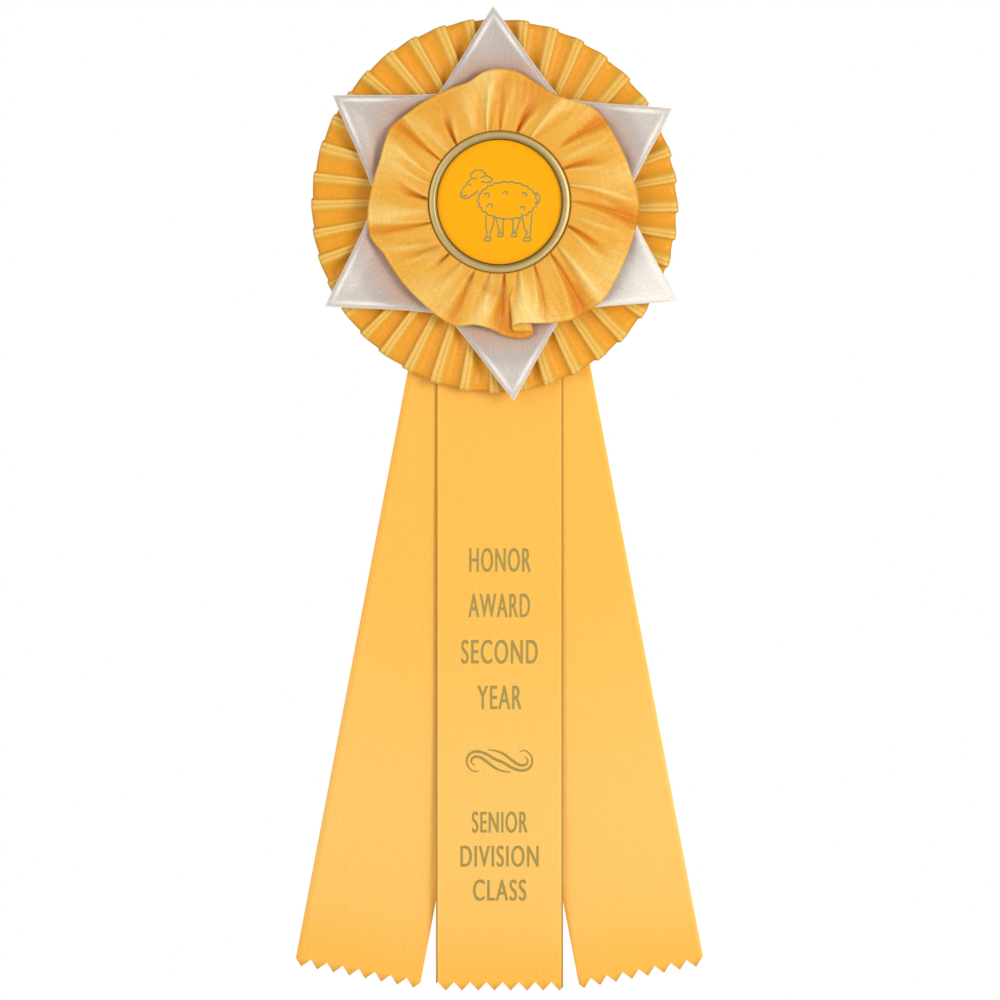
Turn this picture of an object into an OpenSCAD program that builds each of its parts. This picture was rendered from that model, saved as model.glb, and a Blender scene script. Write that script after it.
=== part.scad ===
// Award rosette: a ruffled satin rosette with a six-point star and a framed centre button,
// three hanging streamers, and a bar pin on its back. Millimetres.
// The origin is the middle of the pin's needle. +Z is up and the front faces -Y.

/* [Rosette] */
// How far the rosette's centre hangs below the pin's needle
rosette_drop = 18; // [14:0.5:22]
// Radius of the outer ruffle's rim
outer_rim_r = 73.4; // [68:0.1:76]
// Radius of the hole inside the outer ruffle
outer_hole_r = 19.5; // [19.2:0.1:19.7]
// Number of knife pleats in the outer ruffle
pleats = 40; // [24:1:48]
// How far a pleat's ridge stands over its valley at the rim
pleat_h = 4.6; // [3:0.1:4.6]
// Radius of the inner ruffle's rim
inner_rim_r = 53; // [48:0.5:54]
// Number of folds round the inner ruffle
inner_folds = 9; // [7:1:12]

/* [Star] */
// Distance from the rosette's centre to each point's tip
star_tip_r = 79; // [76:0.5:82]
// Angle between the two sides of a point
star_apex_deg = 70; // [66:1:74]
// How thick a stuffed point is
star_t = 2.8; // [2:0.1:3]

/* [Button] */
// Outer radius of the bezel
bezel_r = 28.3; // [27.5:0.1:29]
// Radius of the disc's face that the bezel leaves showing
face_r = 24.9; // [23:0.1:25.2]
// Thickness of the printed face card
face_t = 1; // [0.5:0.1:1.2]
// How far the button sits above the middle of the cards
button_lift = 0.8; // [0:0.1:1]

/* [Cards] */
// Radius of the card that the layers are built on
core_card_r = 40; // [34:1:44]
// Radius of the card that closes the back
back_card_r = 45; // [41:1:50]
// Thickness of both cards
card_t = 0.8; // [0.5:0.1:1.2]

/* [Streamers] */
// Width of the streamers' ribbon
ribbon_w = 50.8; // [45:0.1:52]
// Thickness of the streamers' ribbon
ribbon_t = 0.3; // [0.2:0.05:0.4]
// Lowest point of the centre streamer, below the rosette's centre
center_foot = 314.6; // [250:0.1:320]
// Length of a side streamer below the point where the three fan out
side_length = 304.4; // [240:0.1:310]
// How far a side streamer leans out
side_lean_deg = 10.8; // [8:0.1:12]
// Distance from the rosette's centre down to the point where the streamers fan out
fan_drop = 10; // [6:0.5:12]
// Distance from the rosette's centre down to the line where the streamers swing
swing_drop = 80.5; // [79:0.5:86]
// Distance between the teeth of a pinked end
tooth_pitch = 6.5; // [5:0.1:7]
// Depth of the teeth
tooth_depth = 3.4; // [2.5:0.1:4]

/* [Bar pin] */
// Length of the pin's base plate
plate_w = 32; // [30:1:36]
// Height of the base plate
plate_h = 6.4; // [5:0.1:8]
// Thickness of the pin's sheet metal
plate_t = 0.6; // [0.5:0.1:0.8]
// Thickness of the foam pad behind the plate
pad_t = 1; // [0.8:0.1:1.5]
// Gap from the base plate to the needle's axis
needle_lift = 2.5; // [2.2:0.1:3]
// Radius of the needle
needle_r = 0.45; // [0.4:0.05:0.5]
// Length of the needle that is clear of its hinge and catch
shaft_l = 20; // [18:0.5:20]
// Distance from the needle's middle to its hinge
hinge_x = 12; // [12:0.5:13]

/* [Hidden] */
$fn = 96;

// Layers from the back to the front. Each value is the back face of its layer.
layer_gap = 0.1;
clinch_room = 0.6;
plate_y = -needle_lift;
pad_y = plate_y - plate_t;
back_card_y = pad_y - pad_t;
left_y = back_card_y - card_t - clinch_room;
right_y = left_y - ribbon_t - layer_gap;
center_y = right_y - ribbon_t - layer_gap;
core_card_y = center_y - ribbon_t - layer_gap;
hub_y = core_card_y - card_t;
swing_z = -rosette_drop - swing_drop;
swing_gap = 0.2;

// Heights in front of the core card
ruffle_t = 0.6;
outer_hub_h = 0.3;
outer_hub_rise = 0.8;
outer_rim_h = 1.8;
star_back_h = 2.6;
star_slope = 0.1;
star_base_r = 20;
star_side_gap = 0.4;
inner_hole_r = 15.6;
inner_hub_h = 5.3;
plate_h0 = 6.75;
plate_h1 = plate_h0 + plate_t;
face_h = 9.6;
lip_h = face_h + face_t + 0.1;

// Shapes drawn flat are stood up facing -Y, with their own z towards the front.
module facing(y, z = 0)
    translate([0, y, z]) rotate([90, 0, 0]) children();

module on_rosette(h = 0)
    facing(hub_y - h, -rosette_drop) children();

module on_button(h = 0)
    facing(hub_y - h, button_lift - rosette_drop) children();

function mix(a, b, t) = a + (b - a) * t;
function ring_point(r, deg, h) = [r * sin(deg), r * cos(deg), h];

// Faces of a closed solid made of equal rings of points. The last ring joins the first.
function band_faces(rings, n) = [
    for (i = [0:rings - 1], j = [0:n - 1])
        let (a = i * n + j, b = i * n + (j + 1) % n)
        let (c = ((i + 1) % rings) * n + (j + 1) % n, d = ((i + 1) % rings) * n + j)
        each [[a, b, c], [a, c, d]]
];

/* ---- bar pin ---- */

ear_t = 0.6;
ear_gap = 0.6;
ear_r = 1.2;
rivet_r = 0.4;
rivet_fit = 0.02;
rivet_play = 0.05;
rivet_head_r = 0.75;
rivet_head_t = 0.4;
catch_x = -11.8;
catch_w = 2.4;
catch_half_gap = 0.55;
catch_rise = 0.9;
eye_r = 1.1;
neck_r = 0.65;
neck_x = hinge_x - 0.8;
point_r = 0.08;
point_l = 5.4;

module pin_ear() {
    difference() {
        union() {
            cylinder(r = ear_r, h = ear_t);
            translate([-ear_r, -needle_lift - plate_t / 2, 0])
                cube([2 * ear_r, needle_lift + plate_t / 2, ear_t]);
        }
        translate([0, 0, -1]) cylinder(r = rivet_r + rivet_fit, h = ear_t + 2);
    }
}

module pin_base() {
    color("silver") {
        facing(plate_y) linear_extrude(plate_t) {
            square([plate_w - plate_h, plate_h], center = true);
            for (side = [-1, 1])
                translate([side * (plate_w - plate_h) / 2, 0]) circle(d = plate_h);
        }
        translate([hinge_x, 0, ear_gap]) pin_ear();
        translate([hinge_x, 0, -ear_gap - ear_t]) pin_ear();
        for (z = [catch_half_gap, -catch_half_gap - ear_t])
            translate([catch_x - catch_w / 2, -needle_lift - plate_t / 2, z])
                cube([catch_w, needle_lift + plate_t / 2 + catch_rise, ear_t]);
    }
}

// A length of round wire along the needle's axis, from x towards the point.
module wire(x, length, r1, r2)
    translate([x, 0, 0]) rotate([0, -90, 0]) cylinder(r1 = r1, r2 = r2, h = length);

// The eye, a neck that thins into the shaft, and a long point that lies in the catch.
module pin_needle() {
    color("lightgray") difference() {
        union() {
            translate([hinge_x, 0, -needle_r]) cylinder(r = eye_r, h = 2 * needle_r);
            wire(neck_x, neck_x - shaft_l / 2, neck_r, needle_r);
            wire(shaft_l / 2, shaft_l, needle_r, needle_r);
            wire(-shaft_l / 2, point_l, needle_r, point_r);
        }
        translate([hinge_x, 0, -2]) cylinder(r = rivet_r + rivet_play, h = 4);
    }
}

module pin_hinge_rivet() {
    z = ear_gap + ear_t;
    color("gray") translate([hinge_x, 0, 0]) {
        translate([0, 0, -z]) cylinder(r = rivet_r, h = 2 * z);
        for (head_z = [z, -z - rivet_head_t])
            translate([0, 0, head_z]) cylinder(r = rivet_head_r, h = rivet_head_t);
    }
}

pad_margin_x = 2;
pad_margin_z = 0.4;

module pin_pad() {
    color("white") facing(pad_y) linear_extrude(pad_t)
        square([plate_w - 2 * pad_margin_x, plate_h - 2 * pad_margin_z], center = true);
}

/* ---- cards ---- */

prong_x = 9;
prong_z = 8.2;
prong_w = 4;
prong_tab_l = 5.5;
slot_play = 0.4;

module back_card() {
    color("ivory") facing(back_card_y, -rosette_drop) linear_extrude(card_t)
        circle(r = back_card_r);
}

module core_card() {
    color("tan") facing(core_card_y, -rosette_drop) linear_extrude(card_t)
        difference() {
            circle(r = core_card_r);
            for (side = [-1, 1])
                translate([side * prong_x, button_lift + prong_z + plate_t / 2])
                    square([prong_w + slot_play, plate_t + slot_play], center = true);
        }
}

/* ---- streamers ---- */

head_top = 12;

// A length of ribbon hanging from the origin, with a pinked end.
module ribbon_outline(length) {
    teeth = ceil(ribbon_w / tooth_pitch);
    intersection() {
        translate([-ribbon_w / 2, -length]) square([ribbon_w, length + head_top]);
        translate([-ribbon_w / 2, -length]) polygon([
            [0, length + head_top],
            for (i = [0:teeth - 1]) each [
                [i * tooth_pitch, tooth_depth],
                [(i + 0.5) * tooth_pitch, 0]
            ],
            [teeth * tooth_pitch, tooth_depth],
            [teeth * tooth_pitch, length + head_top]
        ]);
    }
}

module streamer(y, length, lean, part) {
    reach = 400;
    z0 = -rosette_drop - fan_drop;
    facing(y) linear_extrude(ribbon_t) intersection() {
        translate([0, z0]) rotate(lean) ribbon_outline(length);
        translate([-reach / 2, part == "head" ? swing_z + swing_gap : swing_z - swing_gap - reach])
            square([reach, reach]);
    }
}

module streamer_left_head()
    color("gold") streamer(left_y, side_length, -side_lean_deg, "head");
module streamer_left_tail()
    color("gold") streamer(left_y, side_length, -side_lean_deg, "tail");
module streamer_right_head()
    color("gold") streamer(right_y, side_length, side_lean_deg, "head");
module streamer_right_tail()
    color("gold") streamer(right_y, side_length, side_lean_deg, "tail");
module streamer_center_head()
    color("goldenrod") streamer(center_y, center_foot - fan_drop, 0, "head");
module streamer_center_tail()
    color("goldenrod") streamer(center_y, center_foot - fan_drop, 0, "tail");

// Where the staples are: across and up from the rosette's centre, and how far each is turned.
STAPLES = [[0, -14, 0], [-12.5, -5, 90], [12.5, -5, 90]];
staple_w = 8;
staple_wire = 0.4;
clinch_l = 3;
crown_gap = 0.02;
clinch_gap = 0.05;

// A staple's crown lies in front of the core card and its legs are clinched behind the streamers.
module staple() {
    back = hub_y - left_y - staple_wire - clinch_gap;
    translate([-staple_w / 2, -staple_wire / 2, crown_gap])
        cube([staple_w, staple_wire, staple_wire]);
    for (x = [-staple_w / 2, staple_w / 2 - staple_wire])
        translate([x, -staple_wire / 2, back])
            cube([staple_wire, staple_wire, crown_gap + staple_wire - back]);
    for (x = [-staple_w / 2, staple_w / 2 - clinch_l])
        translate([x, -staple_wire / 2, back])
            cube([clinch_l, staple_wire, staple_wire]);
}

module streamer_staples() {
    color("silver") on_rosette() for (place = STAPLES)
        translate([place[0], place[1], 0]) rotate(place[2]) staple();
}

/* ---- outer ruffle ---- */

// One knife pleat: a flat ridge, a steep drop, and a slow climb to the next ridge.
PLEAT = [[0, 1], [0.38, 1], [0.52, 0.12], [0.88, 0]];
PLEAT_RADII = [0, 0.5, 1];

function outer_r(t) = mix(outer_hole_r, outer_rim_r, t);
function outer_h(t, wave) = mix(outer_hub_h, outer_rim_h, t) + mix(outer_hub_rise, pleat_h, t) * wave;

module outer_ruffle() {
    n = pleats * len(PLEAT);
    lean = 2.5;
    steps = concat(
        [for (t = PLEAT_RADII) [t, 0]],
        [for (i = [len(PLEAT_RADII) - 1:-1:0]) [PLEAT_RADII[i], ruffle_t]]
    );
    points = [
        for (s = steps, k = [0:pleats - 1], p = PLEAT)
            ring_point(outer_r(s[0]), (k + p[0]) * 360 / pleats + lean * (1 - s[0]),
                outer_h(s[0], p[1]) + s[1])
    ];
    color("orange") on_rosette() polyhedron(points, band_faces(len(steps), n));
}

thread_r = 0.2;
thread_inset = 0.3;
outer_thread_h = 1;

module thread_ring(r)
    rotate_extrude() translate([r, 0]) circle(r = thread_r, $fn = 16);

module outer_gather_thread()
    color("khaki") on_rosette(outer_thread_h) thread_ring(outer_hole_r - thread_inset);

/* ---- star ---- */

// A stuffed point, pointing up from the rosette's centre. Its sides are a little hollow,
// and it is thickest along its middle.
// Each section: how far from base to tip it lies, and its share of the full thickness.
STAR_SECTIONS = [[0, 0.5], [0.18, 0.52], [0.35, 0.95], [0.6, 1], [0.85, 0.8], [1, 0.5]];
STAR_ACROSS = [-1, -0.6, 0, 0.6, 1];
star_hollow = 0.1;
star_tip_half_w = 0.5;
star_edge_share = 0.5;

function star_y(t) = mix(star_base_r, star_tip_r, t);
function star_half_w(t) =
    let (y = star_y(t))
    let (straight = (star_tip_r - y) * tan(star_apex_deg / 2))
    let (free = straight * (1 - star_hollow * sin(180 * t)) + star_tip_half_w)
    let (sector = y * tan(30) - star_side_gap)
    min(free, sector);
function star_puff(u) = mix(star_edge_share, 1, sqrt(cos(90 * u)));
function star_h(y) = star_back_h + star_slope * (y - star_base_r);

module star_point(k) {
    n = 2 * len(STAR_ACROSS);
    last = len(STAR_SECTIONS) - 1;
    m = len(STAR_ACROSS);
    points = [
        for (section = STAR_SECTIONS)
            let (y = star_y(section[0]), half_w = star_half_w(section[0]), t = star_t * section[1])
            each concat(
                [for (u = STAR_ACROSS) [u * half_w, y, star_h(y)]],
                [for (i = [m - 1:-1:0])
                    let (u = STAR_ACROSS[i])
                    [u * half_w, y, star_h(y) + t * star_puff(u)]]
            )
    ];
    sides = [
        for (i = [0:last - 1], j = [0:n - 1])
            let (a = i * n + j, b = i * n + (j + 1) % n)
            each [[a, b, b + n], [a, b + n, a + n]]
    ];
    base = [
        for (j = [0:m - 2])
            each [[j + 1, j, n - 1 - j], [j + 1, n - 1 - j, n - 2 - j]]
    ];
    tip = [
        for (j = [0:m - 2])
            let (a = last * n + j, b = last * n + n - 2 - j)
            each [[a, a + 1, b], [a, b, b + 1]]
    ];
    color("white") on_rosette() rotate(-60 * k) polyhedron(points, concat(sides, base, tip));
}

/* ---- inner ruffle ---- */

// The inner ruffle lies flat under the button, then climbs over its edge and out in folds.
// Each section: its radius, the height of its back face over the hub's, and its folds' height.
INNER_SECTIONS = [
    [inner_hole_r, 0, 0], [29.2, 0, 0], [31.5, 2.6, 0.7], [36, 5.2, 1.6], [44, 5.6, 2.2], [50, 5, 2.4]
];
fold_steps = 8;
fold_drift_deg = 20;
fold_reach = 1;

// The sections outside the button's edge stretch to meet the rim, which follows the folds.
function inner_r(i, fold) =
    let (r = INNER_SECTIONS[i][0], from = INNER_SECTIONS[2][0], to = INNER_SECTIONS[5][0])
    i > 2 ? mix(from, inner_rim_r + fold_reach * fold, (r - from) / (to - from)) : r;

module inner_ruffle() {
    n = inner_folds * fold_steps;
    last = len(INNER_SECTIONS) - 1;
    steps = concat([for (i = [0:last]) [i, 0]], [for (i = [last:-1:0]) [i, ruffle_t]]);
    points = [
        for (s = steps, j = [0:n - 1])
            let (section = INNER_SECTIONS[s[0]], deg = j * 360 / n)
            let (fold = sin(deg * inner_folds + fold_drift_deg * sin(2 * deg)))
            ring_point(inner_r(s[0], fold), deg, inner_hub_h + section[1] + section[2] * fold + s[1])
    ];
    color("gold") on_button() polyhedron(points, band_faces(len(steps), n));
}

module inner_gather_thread()
    color("khaki") on_button(inner_hub_h + ruffle_t / 2) thread_ring(inner_hole_r - thread_inset);

/* ---- button ---- */

hub_spacer_r = 10.5;
inside_r = 26.7;
fit_gap = 0.05;
spacer_inset = 0.2;
bezel_play = 0.2;

module hub_spacer() {
    color("beige") on_button(layer_gap) cylinder(r = hub_spacer_r, h = plate_h0 - layer_gap - fit_gap);
}

// The prongs run back through the card's slots and are bent up behind it.
module button_plate() {
    bend_h = -card_t - plate_t - fit_gap;
    color("silver") on_button() {
        translate([0, 0, plate_h0]) cylinder(r = inside_r, h = plate_t);
        for (side = [-1, 1])
            translate([side * prong_x - prong_w / 2, prong_z, bend_h]) {
                cube([prong_w, plate_t, plate_h0 - bend_h + plate_t / 2]);
                cube([prong_w, prong_tab_l, plate_t]);
            }
    }
}

module button_spacer() {
    color("tan") on_button(plate_h1 + fit_gap)
        cylinder(r = inside_r - spacer_inset, h = face_h - plate_h1 - 2 * fit_gap);
}

module center_disc() {
    color("orange") on_button(face_h) cylinder(r = inside_r, h = face_t);
}

// The bezel's crown, from its outer wall in to the disc: how far in, and how far over the lip.
CROWN = [
    [0, 0.4], [0.2, 1.1], [0.6, 1.7], [1, 1.9], [2.2, 1.8], [2.6, 1.5], [2.7, 1.1], [3.1, 0.9], [3.4, 0.5]
];
crimp_in = 1.2;
crimp_t = 0.6;
crimp_chamfer = 0.7;

module center_bezel() {
    wall_r = inside_r + bezel_play;
    crimp_top = plate_h0 - fit_gap;
    crimp_h = crimp_top - crimp_t;
    color("darkkhaki") on_button() rotate_extrude() polygon(concat(
        [
            [wall_r, crimp_top],
            [wall_r - crimp_in, crimp_top],
            [wall_r - crimp_in, crimp_h],
            [bezel_r - crimp_chamfer, crimp_h],
            [bezel_r, crimp_h + crimp_chamfer]
        ],
        [for (point = CROWN) [bezel_r - point[0], lip_h + point[1]]],
        [
            [face_r, lip_h],
            [wall_r, lip_h]
        ]
    ));
}

pin_base();
pin_needle();
pin_hinge_rivet();
pin_pad();
back_card();
streamer_left_head();
streamer_left_tail();
streamer_right_head();
streamer_right_tail();
streamer_center_head();
streamer_center_tail();
streamer_staples();
core_card();
outer_ruffle();
outer_gather_thread();
star_point(0);  // star_point_1
star_point(1);  // star_point_2
star_point(2);  // star_point_3
star_point(3);  // star_point_4
star_point(4);  // star_point_5
star_point(5);  // star_point_6
inner_ruffle();
inner_gather_thread();
hub_spacer();
button_plate();
button_spacer();
center_disc();
center_bezel();
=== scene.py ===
"""Award rosette: a pleated gold satin ruffle, six white satin points, a gathered gold ruffle,
a button framed in brass, three streamers and a bar pin. Metres, front facing -Y, +Z up.
"""

import math
import random

import bmesh
import bpy
from mathutils import Matrix, Vector


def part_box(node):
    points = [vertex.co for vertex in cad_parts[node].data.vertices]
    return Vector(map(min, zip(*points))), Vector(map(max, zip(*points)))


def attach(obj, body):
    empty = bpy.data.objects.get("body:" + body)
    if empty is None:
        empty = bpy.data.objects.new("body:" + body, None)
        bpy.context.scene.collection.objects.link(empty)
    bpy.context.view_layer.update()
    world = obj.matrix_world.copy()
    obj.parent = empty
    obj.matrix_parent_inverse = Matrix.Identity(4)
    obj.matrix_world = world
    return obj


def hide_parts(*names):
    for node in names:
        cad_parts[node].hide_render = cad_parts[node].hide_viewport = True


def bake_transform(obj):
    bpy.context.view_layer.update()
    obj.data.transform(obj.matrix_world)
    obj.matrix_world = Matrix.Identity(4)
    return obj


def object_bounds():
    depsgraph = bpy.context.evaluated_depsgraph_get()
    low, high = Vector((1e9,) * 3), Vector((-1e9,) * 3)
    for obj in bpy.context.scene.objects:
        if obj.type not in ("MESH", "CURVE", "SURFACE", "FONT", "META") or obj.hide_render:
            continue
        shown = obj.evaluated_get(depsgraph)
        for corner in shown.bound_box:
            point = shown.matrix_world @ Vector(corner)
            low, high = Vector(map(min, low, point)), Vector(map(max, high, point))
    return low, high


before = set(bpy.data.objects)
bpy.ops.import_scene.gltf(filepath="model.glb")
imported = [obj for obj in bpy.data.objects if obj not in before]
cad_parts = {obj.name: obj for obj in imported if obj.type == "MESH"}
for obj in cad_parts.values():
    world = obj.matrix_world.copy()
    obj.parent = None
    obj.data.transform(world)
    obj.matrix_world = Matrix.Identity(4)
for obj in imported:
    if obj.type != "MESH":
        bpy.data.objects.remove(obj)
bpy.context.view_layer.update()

MM = 0.001


# ---------------------------------------------------------------------------------------------
# The core card. Everything is stapled, stitched or glued to this disc of grey-brown chipboard,
# which is stamped out of a sheet. It shows only at the sides, between ribbon and ruffle.


def srgb(code):
    """An sRGB hex colour as the linear colour that shaders take."""
    parts = [int(code[i:i + 2], 16) / 255 for i in (1, 3, 5)]
    return (*[c / 12.92 if c <= 0.04045 else ((c + 0.055) / 1.055) ** 2.4 for c in parts], 1)


def new_material(name):
    """An empty node material, and its node tree."""
    made = bpy.data.materials.new(name)
    made.use_nodes = True
    made.node_tree.nodes.clear()
    return made, made.node_tree


def add_node(tree, kind, values=None, links=None, **settings):
    """Adds a node. settings are its properties, values its sockets' values, links what feeds them."""
    made = tree.nodes.new(kind)
    for name, value in settings.items():
        setattr(made, name, value)
    for socket, value in (values or {}).items():
        made.inputs[socket].default_value = value
    for socket, source in (links or {}).items():
        tree.links.new(source, made.inputs[socket])
    return made


def noise(tree, place, size_mm, detail, distortion=0):
    """Cloudy noise, 0 to 1, whose patches are about size_mm across."""
    made = add_node(tree, "ShaderNodeTexNoise", {"Scale": 1 / (size_mm * MM), "Detail": detail,
                                                 "Distortion": distortion}, {"Vector": place})
    return made.outputs["Fac"]


def spread(tree, value, low, high, **ends):
    """A value from 0 to 1, or between the ends given, spread from low to high."""
    made = add_node(tree, "ShaderNodeMapRange", {"To Min": low, "To Max": high}, {"Value": value})
    for end, at in ends.items():
        made.inputs["From " + end].default_value = at
    return made.outputs["Result"]


def relief(tree, height, strength, depth_mm):
    """The normals of a fine relief, depth_mm deep."""
    made = add_node(tree, "ShaderNodeBump", {"Strength": strength, "Distance": depth_mm * MM},
                    {"Height": height})
    return made.outputs["Normal"]


def surface(tree, values, links):
    """Ends a material with its shader."""
    shader = add_node(tree, "ShaderNodeBsdfPrincipled", values, links)
    add_node(tree, "ShaderNodeOutputMaterial", links={"Surface": shader.outputs["BSDF"]})


def chipboard(name, face, fleck):
    """Recycled chipboard, rolled and uncoated: matte, with short fibres and grey flecks."""
    made, tree = new_material(name)
    place = add_node(tree, "ShaderNodeTexCoord").outputs["Object"]
    fibre_mm, fleck_mm = 0.5, 2.5
    fibres = noise(tree, place, fibre_mm, 4)
    share = spread(tree, noise(tree, place, fleck_mm, 2), 0, 1, Min=0.45, Max=0.7)
    colour = add_node(tree, "ShaderNodeMix", {6: srgb(face), 7: srgb(fleck)}, {0: share}, data_type="RGBA")
    surface(tree, {"Roughness": 0.88, "IOR": 1.45},
            {"Base Color": colour.outputs[2], "Normal": relief(tree, fibres, 0.4, 0.05)})
    return made


def finish_node(name, material):
    """Gives a CAD node its material. Its mesh is left alone."""
    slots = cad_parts[name].data.materials
    slots.clear()
    slots.append(material)


grey_board = chipboard("chipboard, uncoated", "#A8977C", "#7F7463")
finish_node("core_card", grey_board)

card_low, card_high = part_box("core_card")
centre_x = (card_low.x + card_high.x) / 2
centre_z = (card_low.z + card_high.z) / 2
hub_y = card_low.y


# ---------------------------------------------------------------------------------------------
# The streamers. Three lengths of 2 inch acetate satin ribbon, stapled to the card and fanned out
# behind it, the centre one in front. Pinking shears cut their ends, so they don't fray.

ribbon_w = 50.8
ribbon_t = 0.2
streamer_length = 304.6
head_length = 12
fan_drop = 10
fan_lean = 10.8
tooth_pitch = 6.5
tooth_depth = 3.4
plain_shade = 0.35


def satin(name, tones, width, gloss, lustre, grain=1.0, edge=0.9):
    """Acetate satin, streaked by its long warp floats. tones are its painted highlight, plain face and
    painted fold-shade colours. The attribute shade, which holds painted light and shade, runs through them
    from 0 to 1, with the plain face at plain_shade. The outermost threads along each side are edge times
    as bright, which paints a shadow line where edge is below 1, and those just inside them a little
    brighter. UVs are millimetres across and along."""
    made, tree = new_material(name)
    place = add_node(tree, "ShaderNodeUVMap", uv_map="UVMap").outputs["UV"]
    thread_mm, float_mm = 0.45, 9.0
    rib_mm, rib_turn = 0.9, 38
    stretch = add_node(tree, "ShaderNodeMapping", {"Scale": (1 / thread_mm, 1 / float_mm, 1)},
                       {"Vector": place})
    floats = add_node(tree, "ShaderNodeTexNoise", {"Scale": 1.0, "Detail": 3, "Roughness": 0.6},
                      {"Vector": stretch.outputs["Vector"]})
    slant = add_node(tree, "ShaderNodeMapping",
                     {"Rotation": (0, 0, math.radians(rib_turn)), "Scale": (1 / rib_mm, 1 / rib_mm, 1)},
                     {"Vector": place})
    ribs = add_node(tree, "ShaderNodeTexNoise", {"Scale": 1.0, "Detail": 2},
                    {"Vector": slant.outputs["Vector"]})
    weave = add_node(tree, "ShaderNodeMath", links={0: floats.outputs["Fac"], 1: ribs.outputs["Fac"]},
                     operation="ADD").outputs["Value"]
    fold = add_node(tree, "ShaderNodeAttribute", attribute_name="shade")
    painted_shading = add_node(tree, "ShaderNodeValToRGB", links={"Fac": fold.outputs["Fac"]})
    stops = painted_shading.color_ramp.elements
    stops[0].color = srgb(tones[0])
    stops[1].color = srgb(tones[2])
    stops.new(plain_shade).color = srgb(tones[1])
    thread_light = spread(tree, weave, 1 - 0.06 * grain, 1 + 0.05 * grain, Min=0.7, Max=1.3)
    across = add_node(tree, "ShaderNodeSeparateXYZ", links={"Vector": place})
    off_middle = add_node(tree, "ShaderNodeMath", links={0: across.outputs["X"]},
                          operation="ABSOLUTE").outputs["Value"]
    dark_mm, pale_mm, pale_light = 0.6, 1.3, 1.07
    dark_from, pale_from = width / 2 - dark_mm, width / 2 - pale_mm
    outermost = spread(tree, off_middle, 1.0, edge, Min=dark_from - 0.2, Max=dark_from)
    inside_it = spread(tree, off_middle, 1.0, pale_light, Min=pale_from - 0.3, Max=pale_from)
    edged = add_node(tree, "ShaderNodeMath", links={0: outermost, 1: inside_it}, operation="MULTIPLY")
    tone = add_node(tree, "ShaderNodeMath", links={0: edged.outputs["Value"], 1: thread_light},
                    operation="MULTIPLY")
    colour = add_node(tree, "ShaderNodeVectorMath", links={0: painted_shading.outputs["Color"],
                                                           1: tone.outputs["Value"]}, operation="MULTIPLY")
    surface(tree, {"Roughness": gloss, "IOR": 1.4, "Sheen Weight": lustre, "Sheen Roughness": 0.35,
                   "Sheen Tint": srgb("#FFF6E4")},
            {"Base Color": colour.outputs["Vector"], "Normal": relief(tree, weave, 0.3 * grain, 0.06)})
    return made


def woven(columns, rows, width, length, place, cuts=None):
    """A strip of ribbon as a grid. place(across, along), each 0 to 1, says where a point of it lies
    and how much painted shade or highlight it takes. cuts, for uneven columns, lists their edges in
    millimetres from the left.
    Returns the bmesh, with UVs in millimetres."""
    cloth = bmesh.new()
    uv = cloth.loops.layers.uv.new("UVMap")
    shade = cloth.verts.layers.float.new("shade")
    bmesh.ops.create_grid(cloth, x_segments=columns, y_segments=rows, size=0.5)
    for face in cloth.faces:
        for loop in face.loops:
            at = loop.vert.co
            x = cuts[round((at.x + 0.5) * columns)] - width / 2 if cuts else at.x * width
            loop[uv].uv = (x, (at.y + 0.5) * length)
    for vert in cloth.verts:
        point, painted_shade = place(vert.co.x + 0.5, vert.co.y + 0.5)
        vert.co = point
        vert[shade] = painted_shade
    return cloth


def made_of(name, shape, material):
    """Turns a bmesh into a smooth object of one material, at the origin."""
    mesh = bpy.data.meshes.new(name)
    shape.to_mesh(mesh)
    shape.free()
    mesh.shade_smooth()
    mesh.materials.append(material)
    made = bpy.data.objects.new(name, mesh)
    bpy.context.scene.collection.objects.link(made)
    return made


def thicken(piece, thickness):
    """Gives a cloth its thickness, half to each side."""
    wall = piece.modifiers.new("thickness", "SOLIDIFY")
    wall.thickness = thickness * MM
    wall.offset = 0
    wall.use_even_offset = False


# Painted highlight, face and painted fold-shade tones for the satin's shade attribute.
streamer_tones = ("#FFDC8C", "#FFBE4A", "#F0962A")
side_satin = satin("acetate satin ribbon, gold, flat", streamer_tones, ribbon_w, gloss=0.55, lustre=0.1,
                   edge=1.1)
# The centre streamer's darker outermost threads paint a shadow line along its edges, beside the side
# streamers.
center_satin = satin("acetate satin ribbon, gold, flat, painted edge shadow", streamer_tones, ribbon_w, gloss=0.55,
                     lustre=0.1, edge=0.5)
swing_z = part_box("streamer_center_tail")[1].z
fan_z = centre_z - fan_drop * MM


def blend_of(a, b, t):
    """From a to b, as t goes from 0 to 1."""
    return a + (b - a) * t


def smooth_step(t):
    """From 0 to 1, as t does, with a soft start and end."""
    t = min(1, max(0, t))
    return t * t * (3 - 2 * t)


def tooth_rise(x, phase):
    """How far the pinked edge lies above its points, x millimetres from the ribbon's left edge."""
    turn = (x / tooth_pitch + phase) % 1
    return tooth_depth * abs(2 * turn - 1)


def tooth_edges(phase):
    """Where a ribbon's columns of faces meet, across it: at every point and notch of its teeth."""
    edges = [0]
    step = tooth_pitch / 2
    sliver = 0.2
    cut = (1 - phase) % 1 * tooth_pitch % step
    while cut < ribbon_w - sliver:
        if cut > sliver:
            edges.append(cut)
        cut += step
    return edges + [ribbon_w]


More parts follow.
